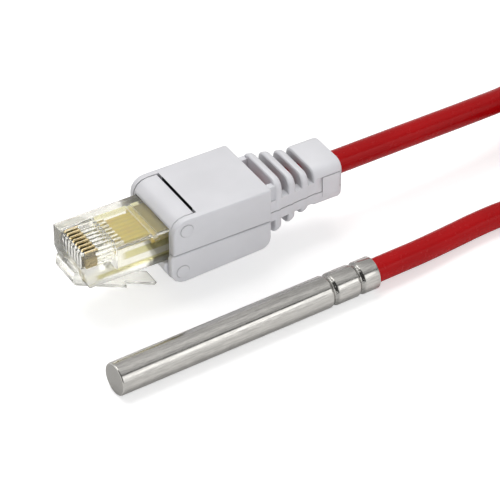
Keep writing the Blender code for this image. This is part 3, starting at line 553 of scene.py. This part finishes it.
def flag_card(name, grey):
    """Matt card that metal shows at one grey level and that clear plastic shows as white."""
    made = Finish(name, (0.0, 0.0, 0.0))
    made.set("Roughness", 1.0)
    made.set("Specular IOR Level", 0.0)
    inside = made.node("ShaderNodeLightPath", output="Transmission Depth").math("MINIMUM", 1.0)
    made.set("Emission Color", made.mix(inside, (grey, grey, grey), (1.0, 1.0, 1.0)))
    made.set("Emission Strength", 1.0)
    return made.material


def give(piece, finish):
    """Puts one finish on a whole piece."""
    piece.data.materials.clear()
    piece.data.materials.append(finish)


def dress(names, finish):
    """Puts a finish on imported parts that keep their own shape."""
    for name in names:
        give(NODES[name], finish)


def new_piece(name, bm, finish, slot, *replaced):
    """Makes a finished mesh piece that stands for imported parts."""
    bmesh.ops.recalc_face_normals(bm, faces=bm.faces[:])
    mesh = bpy.data.meshes.new(name)
    bm.to_mesh(mesh)
    bm.free()
    mesh.shade_smooth()
    mesh.set_sharp_from_angle(angle=CREASE)
    piece = bpy.data.objects.new(name, mesh)
    bpy.context.collection.objects.link(piece)
    give(piece, finish)
    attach(piece, BODY)
    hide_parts(*replaced)


def moulded_copy(node, name, finish, slot):
    """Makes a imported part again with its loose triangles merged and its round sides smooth."""
    bm = bmesh.new()
    bm.from_mesh(NODES[node].data)
    bmesh.ops.remove_doubles(bm, verts=bm.verts[:], dist=MERGE)
    bmesh.ops.dissolve_limit(bm, angle_limit=FLAT, verts=bm.verts[:], edges=bm.edges[:])
    new_piece(name, bm, finish, slot, node)


def smooth_route(knots, spacing):
    """Evenly spaced points on a smooth curve through the route's own points."""
    knots = [Vector(k) for k in knots]
    ends = [2 * knots[0] - knots[1], *knots, 2 * knots[-1] - knots[-2]]
    fine_steps = 20
    fine = []
    for a, b, c, d in zip(ends, ends[1:], ends[2:], ends[3:]):
        for k in range(fine_steps):
            t = k / fine_steps
            bend = (2 * a - 5 * b + 4 * c - d) * t ** 2 + (3 * b - a - 3 * c + d) * t ** 3
            fine.append(b + ((c - a) * t + bend) / 2)
    fine.append(knots[-1])
    reach = [0.0]
    for a, b in zip(fine, fine[1:]):
        reach.append(reach[-1] + (b - a).length)
    count = max(2, round(reach[-1] / spacing))
    points, j = [], 0
    for k in range(count + 1):
        want = reach[-1] * k / count
        while j < len(fine) - 2 and reach[j + 1] < want:
            j += 1
        points.append(fine[j].lerp(fine[j + 1], (want - reach[j]) / (reach[j + 1] - reach[j])))
    return points


def ease(share):
    """A smooth rise from 0 to 1."""
    share = min(1.0, max(0.0, share))
    return share * share * (3 - 2 * share)


def hank_turns(settings):
    """The cable's line through the hank: two turns on the table, two on top of them.

    Each turn leaves its place on the fold near the sleeve: first to the inside,
    then up, then back to the outside.
    """
    half = settings.diameter / 2
    low, high = HANK_LOW.z + half, HANK_HIGH.z - half
    middle = (HANK_LOW.y + HANK_HIGH.y) / 2
    outer = (HANK_HIGH.y - HANK_LOW.y) / 2 - half
    inner = outer - settings.diameter
    left, right = HANK_LOW.x + outer + half, HANK_HIGH.x - outer - half
    places = ((outer, low), (inner, low), (inner, high), (outer, high))
    starts = [math.radians(a) for a in (165, 140, 110)]
    run = (0.02, 0.25, 0.5, 0.75, 0.98)
    far_steps, near_steps = 12, 18
    points = []
    for turn, (radius, height) in enumerate(places):
        for along in run:
            points.append(Vector((left + (right - left) * along, middle - radius, height)))
        for k in range(far_steps + 1):
            angle = math.radians(180 * k / far_steps - 90)
            x, y = right + radius * math.cos(angle), middle + radius * math.sin(angle)
            points.append(Vector((x, y, height)))
        for along in run[::-1]:
            points.append(Vector((left + (right - left) * along, middle + radius, height)))
        if turn == len(starts):
            break
        onward = places[turn + 1]
        for k in range(1, near_steps):
            angle = math.radians(180 * k / near_steps + 90)
            share = ease((angle - starts[turn]) / settings.shift)
            around = radius + share * (onward[0] - radius)
            x, y = left + around * math.cos(angle), middle + around * math.sin(angle)
            points.append(Vector((x, y, height + share * (onward[1] - height))))
    return points


class PROBE_OT_stage(bpy.types.Operator):
    """Sets the camera, the lamps and the white table"""

    bl_idname = "probe.stage"
    bl_label = "Stage"

    target = (11.97 * MM, 16.82 * MM, 3.0 * MM)
    roll = math.radians(0.16)
    sky_light = 0.34

    # Name, place, size, watts, colour, and whether metal mirrors it
    lamps = (
        ("key_lamp", (0.02, 0.34, 0.78), (0.60, 0.60), 4.4, (1.0, 0.99, 0.98), True),
        ("fill_lamp", (-0.10, -0.80, 0.34), (0.70, 0.60), 2.5, (0.97, 0.98, 1.0), False),
        ("band_lamp", (0.42, -0.72, 0.46), (0.60, 0.33), 0.55, (1.0, 1.0, 1.0), True),
    )

    # Name, ends along the sleeve, lowest and highest angle in degrees, and grey level
    flag_reach = 0.60
    flags = (
        ("low_flag", (-0.1, 0.8), (3, 20), 1.0),
        ("dark_flag", (-0.1, 0.8), (44, 53), 0.03),
        ("front_flag", (-0.1, 0.8), (53, 70), 0.52),
        ("top_flag", (-0.1, 0.8), (70, 100), 0.69),
        ("back_flag", (-0.1, 0.8), (100, 166), 0.47),
        ("left_flag", (-0.6, -0.1), (2, 90), 0.04),
        ("right_flag", (0.8, 1.5), (2, 90), 0.04),
    )

    def execute(self, context):
        settings = context.scene.probe_stage
        self.add_camera(context, settings)
        self.add_table(settings)
        self.add_sky(context)
        for lamp in self.lamps:
            self.add_lamp(*lamp)
        for flag in self.flags:
            self.add_flag(*flag)
        return {"FINISHED"}

    def add_camera(self, context, settings):
        across = math.cos(settings.elevation)
        way = Vector((
            -math.sin(settings.azimuth) * across, -math.cos(settings.azimuth) * across,
            math.sin(settings.elevation),
        ))
        camera = bpy.data.objects.new("camera", bpy.data.cameras.new("camera"))
        context.collection.objects.link(camera)
        camera.location = Vector(self.target) + way * settings.distance
        facing = way.to_track_quat("Z", "Y").to_matrix().to_4x4()
        camera.rotation_euler = (facing @ Matrix.Rotation(self.roll, 4, "Z")).to_euler()
        camera.data.sensor_width = 36.0
        camera.data.lens = settings.lens
        camera.data.clip_start = 0.01
        camera.data.clip_end = 20.0
        context.scene.camera = camera

    def add_table(self, settings):
        bm = bmesh.new()
        bmesh.ops.create_grid(bm, x_segments=2, y_segments=2, size=settings.table_size / 2)
        mesh = bpy.data.meshes.new("table")
        bm.to_mesh(mesh)
        bm.free()
        table = bpy.data.objects.new("table", mesh)
        bpy.context.collection.objects.link(table)
        give(table, table_top())

    def add_sky(self, context):
        """A plain studio: white where it is seen, softer where it lights the object."""
        sky = bpy.data.worlds.new("studio")
        context.scene.world = sky
        sky.use_nodes = True
        tree = sky.node_tree
        base = tree.nodes["Background"]
        base.inputs["Color"].default_value = (1.0, 1.0, 1.0, 1.0)
        base.inputs["Strength"].default_value = self.sky_light
        white = tree.nodes.new("ShaderNodeBackground")
        white.inputs["Strength"].default_value = 1.0
        path = tree.nodes.new("ShaderNodeLightPath")
        seen = path.outputs["Is Camera Ray"]
        for kind in ("Is Glossy Ray", "Is Transmission Ray"):
            both = tree.nodes.new("ShaderNodeMath")
            both.operation = "MAXIMUM"
            tree.links.new(seen, both.inputs[0])
            tree.links.new(path.outputs[kind], both.inputs[1])
            seen = both.outputs[0]
        mixed = tree.nodes.new("ShaderNodeMixShader")
        tree.links.new(seen, mixed.inputs[0])
        tree.links.new(base.outputs[0], mixed.inputs[1])
        tree.links.new(white.outputs[0], mixed.inputs[2])
        tree.links.new(mixed.outputs[0], tree.nodes["World Output"].inputs[0])

    def add_flag(self, name, ends, angles, grey):
        """A bent card over the sleeve that only reflections show, between two angles."""
        low, high = angles
        bm = bmesh.new()
        rows = []
        count = max(1, round((high - low) / 6))
        for k in range(count + 1):
            angle = math.radians(low + (high - low) * k / count)
            rows.append([
                bm.verts.new((x, -self.flag_reach * math.cos(angle), self.flag_reach * math.sin(angle)))
                for x in ends
            ])
        for (a, b), (c, d) in zip(rows, rows[1:]):
            bm.faces.new((a, b, d, c))
        mesh = bpy.data.meshes.new(name)
        bm.to_mesh(mesh)
        bm.free()
        flag = bpy.data.objects.new(name, mesh)
        bpy.context.collection.objects.link(flag)
        for kind in ("camera", "diffuse", "transmission", "volume_scatter", "shadow"):
            setattr(flag, f"visible_{kind}", False)
        give(flag, flag_card(name, grey))

    def add_lamp(self, name, place, size, watts, colour, mirrored):
        data = bpy.data.lights.new(name, "AREA")
        data.shape = "RECTANGLE"
        data.size, data.size_y = size
        data.energy = watts
        data.color = colour
        lamp = bpy.data.objects.new(name, data)
        bpy.context.collection.objects.link(lamp)
        lamp.location = place
        lamp.visible_glossy = mirrored
        lamp.rotation_euler = (Vector(place) - Vector(self.target)).to_track_quat("Z", "Y").to_euler()


class PROBE_OT_cable(bpy.types.Operator):
    """Lays the red cable from the sleeve through its hank to the plug"""

    bl_idname = "probe.cable"
    bl_label = "Cable"

    def execute(self, context):
        settings = context.scene.probe_cable
        route = [Vector(p) for p in PROBE_END_ROUTE + INTO_HANK]
        route += hank_turns(settings)
        route += [Vector(p) for p in OUT_OF_HANK + PLUG_END_ROUTE[::-1]]
        points = smooth_route(route, 0.6 * settings.diameter)
        curve = bpy.data.curves.new("red_cable", "CURVE")
        curve.dimensions = "3D"
        curve.bevel_depth = settings.diameter / 2
        curve.bevel_resolution = 8
        curve.use_fill_caps = True
        spline = curve.splines.new("POLY")
        spline.points.add(len(points) - 1)
        for target, point in zip(spline.points, points):
            target.co = (*point, 1.0)
        cable = bpy.data.objects.new("red_cable", curve)
        context.collection.objects.link(cable)
        give(cable, cable_jacket(settings))
        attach(cable, BODY)
        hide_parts("cable_probe_end", "cable_hank", "cable_plug_end")
        pieces = [bpy.data.objects.get(f"{n}_moulding") or NODES[n] for n in PLUG_PIECES]
        pieces.append(bpy.data.objects["terminal_row"])
        return {"FINISHED"}


class PROBE_OT_sleeve(bpy.types.Operator):
    """Turns the steel sleeve with its flat tip and two rolled grooves"""

    bl_idname = "probe.sleeve"
    bl_label = "Sleeve"

    groove_thinning = 0.1 * MM
    cable_clearance = 0.06 * MM

    def execute(self, context):
        settings = context.scene.probe_sleeve
        cable = context.scene.probe_cable
        outer = (SLEEVE_HIGH.z - SLEEVE_LOW.z) / 2
        inner = outer - settings.wall
        depth = inner - cable.diameter / 2 - self.cable_clearance
        tip, mouth = SLEEVE_LOW.x, SLEEVE_HIGH.x
        steps = 8
        outside = [(tip, 0.0)]
        for k in range(steps + 1):
            angle = math.pi / 2 * k / steps
            back = settings.tip_rounding * (1 - math.cos(angle))
            outside.append((tip + back, outer - settings.tip_rounding * (1 - math.sin(angle))))
        inside = [(tip + settings.tip_thickness, 0.0), (tip + settings.tip_thickness, inner)]
        for from_mouth in sorted(GROOVES_FROM_MOUTH, reverse=True):
            for k in range(-steps, steps + 1):
                along = mouth - from_mouth + settings.groove_width / 2 * k / steps
                share = (1 + math.cos(math.pi * k / steps)) / 2
                outside.append((along, outer - (depth + self.groove_thinning) * share))
                inside.append((along, inner - depth * share))
        lip = settings.wall / 3
        outside += [(mouth - lip, outer), (mouth - lip * 0.3, outer - lip * 0.3), (mouth, outer - lip)]
        inside.append((mouth, inner))
        bm = bmesh.new()
        ring = [bm.verts.new((x, 0.0, r)) for x, r in outside + inside[::-1]]
        edges = [bm.edges.new(pair) for pair in zip(ring, ring[1:])]
        bmesh.ops.spin(
            bm, geom=ring + edges, cent=(0, 0, 0), axis=(1, 0, 0), angle=math.tau,
            steps=144, use_merge=True,
        )
        bmesh.ops.remove_doubles(bm, verts=bm.verts[:], dist=MERGE)
        bmesh.ops.translate(bm, verts=bm.verts[:], vec=(0, 0, (SLEEVE_LOW.z + SLEEVE_HIGH.z) / 2))
        new_piece("steel_sleeve", bm, drawn_steel(settings), "stainless_steel", "probe_sleeve")
        return {"FINISHED"}


class PROBE_OT_sensor(bpy.types.Operator):
    """Finishes the sensor, its legs and their shrink tubes inside the sleeve"""

    bl_idname = "probe.sensor"
    bl_label = "Sensor"

    def execute(self, context):
        dress(["sensor_chip"], moulded_epoxy())
        dress([f"sensor_leg_{kind}" for kind in WIRES], tinned_metal())
        dress([f"sensor_shrink_{kind}" for kind in WIRES], shrink_rubber())
        return {"FINISHED"}


class PROBE_OT_wires(bpy.types.Operator):
    """Finishes the cable's three wires at both of its ends"""

    bl_idname = "probe.wires"
    bl_label = "Wires"

    colours = ((0.45, 0.02, 0.02), (0.70, 0.50, 0.05), (0.02, 0.02, 0.02))

    def execute(self, context):
        for kind, colour in zip(WIRES, self.colours):
            finish = wire_jacket(f"wire_{kind}", colour)
            dress([f"sensor_wire_{kind}", f"plug_wire_{kind}"], finish)
        return {"FINISHED"}


class PROBE_OT_straps(bpy.types.Operator):
    """Makes the two cloth straps that hold the hank"""

    bl_idname = "probe.straps"
    bl_label = "Straps"

    def execute(self, context):
        cloth = strap_cloth()
        for i in STRAPS:
            moulded_copy(f"hank_strap_{i}", f"hank_strap_{i}_cloth", cloth, "strap_cloth")
        return {"FINISHED"}


class PROBE_OT_plug_inside(bpy.types.Operator):
    """Finishes the contacts and the board, and joins the eight terminals in one row"""

    bl_idname = "probe.plug_inside"
    bl_label = "Plug inside"

    def execute(self, context):
        settings = context.scene.probe_plug
        dress([f"contact_{i}" for i in CONTACTS], gold_plate(settings))
        dress(["contact_board"], board_resin(settings))
        terminals = [f"terminal_{i}" for i in CONTACTS]
        row = bmesh.new()
        for node in terminals:
            row.from_mesh(NODES[node].data)
        bmesh.ops.remove_doubles(row, verts=row.verts[:], dist=MERGE)
        new_piece("terminal_row", row, tinned_metal(), "tinned_copper", *terminals)
        return {"FINISHED"}


class PROBE_OT_plug_body(bpy.types.Operator):
    """Makes the clear plug body with its latch"""

    bl_idname = "probe.plug_body"
    bl_label = "Plug body"

    def execute(self, context):
        finish = clear_plastic(context.scene.probe_plug)
        moulded_copy("plug_body", "plug_body_moulding", finish, "clear_plastic")
        return {"FINISHED"}


class PROBE_OT_shells(bpy.types.Operator):
    """Makes the white carrier and the two shells with their ribbed tail"""

    bl_idname = "probe.shells"
    bl_label = "Shells"

    def execute(self, context):
        finish = moulded_white(context.scene.probe_plug)
        for node in ("plug_carrier", "shell_upper", "shell_lower"):
            moulded_copy(node, f"{node}_moulding", finish, "white_plastic")
        return {"FINISHED"}


STEPS = (
    PROBE_OT_stage, PROBE_OT_sleeve, PROBE_OT_sensor, PROBE_OT_wires, PROBE_OT_straps,
    PROBE_OT_plug_inside, PROBE_OT_plug_body, PROBE_OT_shells, PROBE_OT_cable,
)
GROUPS = {
    "probe_cable": CableSettings, "probe_sleeve": SleeveSettings, "probe_plug": PlugSettings,
    "probe_stage": StageSettings,
}


class PROBE_PT_panel(bpy.types.Panel):
    """Lists the steps in the order that builds the probe"""

    bl_label = "Temperature probe"
    bl_idname = "PROBE_PT_panel"
    bl_space_type = "VIEW_3D"
    bl_region_type = "UI"
    bl_category = "Probe"

    def draw(self, context):
        for step in STEPS:
            self.layout.operator(step.bl_idname)
        for name, group in GROUPS.items():
            box = self.layout.box()
            for field in group.__annotations__:
                box.prop(getattr(context.scene, name), field)


def register():
    for kind in (*GROUPS.values(), *STEPS, PROBE_PT_panel):
        bpy.utils.register_class(kind)
    for name, group in GROUPS.items():
        setattr(bpy.types.Scene, name, bpy.props.PointerProperty(type=group))


def unregister():
    for name in GROUPS:
        delattr(bpy.types.Scene, name)
    for kind in (PROBE_PT_panel, *reversed(STEPS), *GROUPS.values()):
        bpy.utils.unregister_class(kind)


def main():
    register()
    bpy.context.scene.view_settings.view_transform = "Standard"
    for step in STEPS:
        group, name = step.bl_idname.split(".")
        getattr(getattr(bpy.ops, group), name)()


if __name__ == "__main__":
    main()
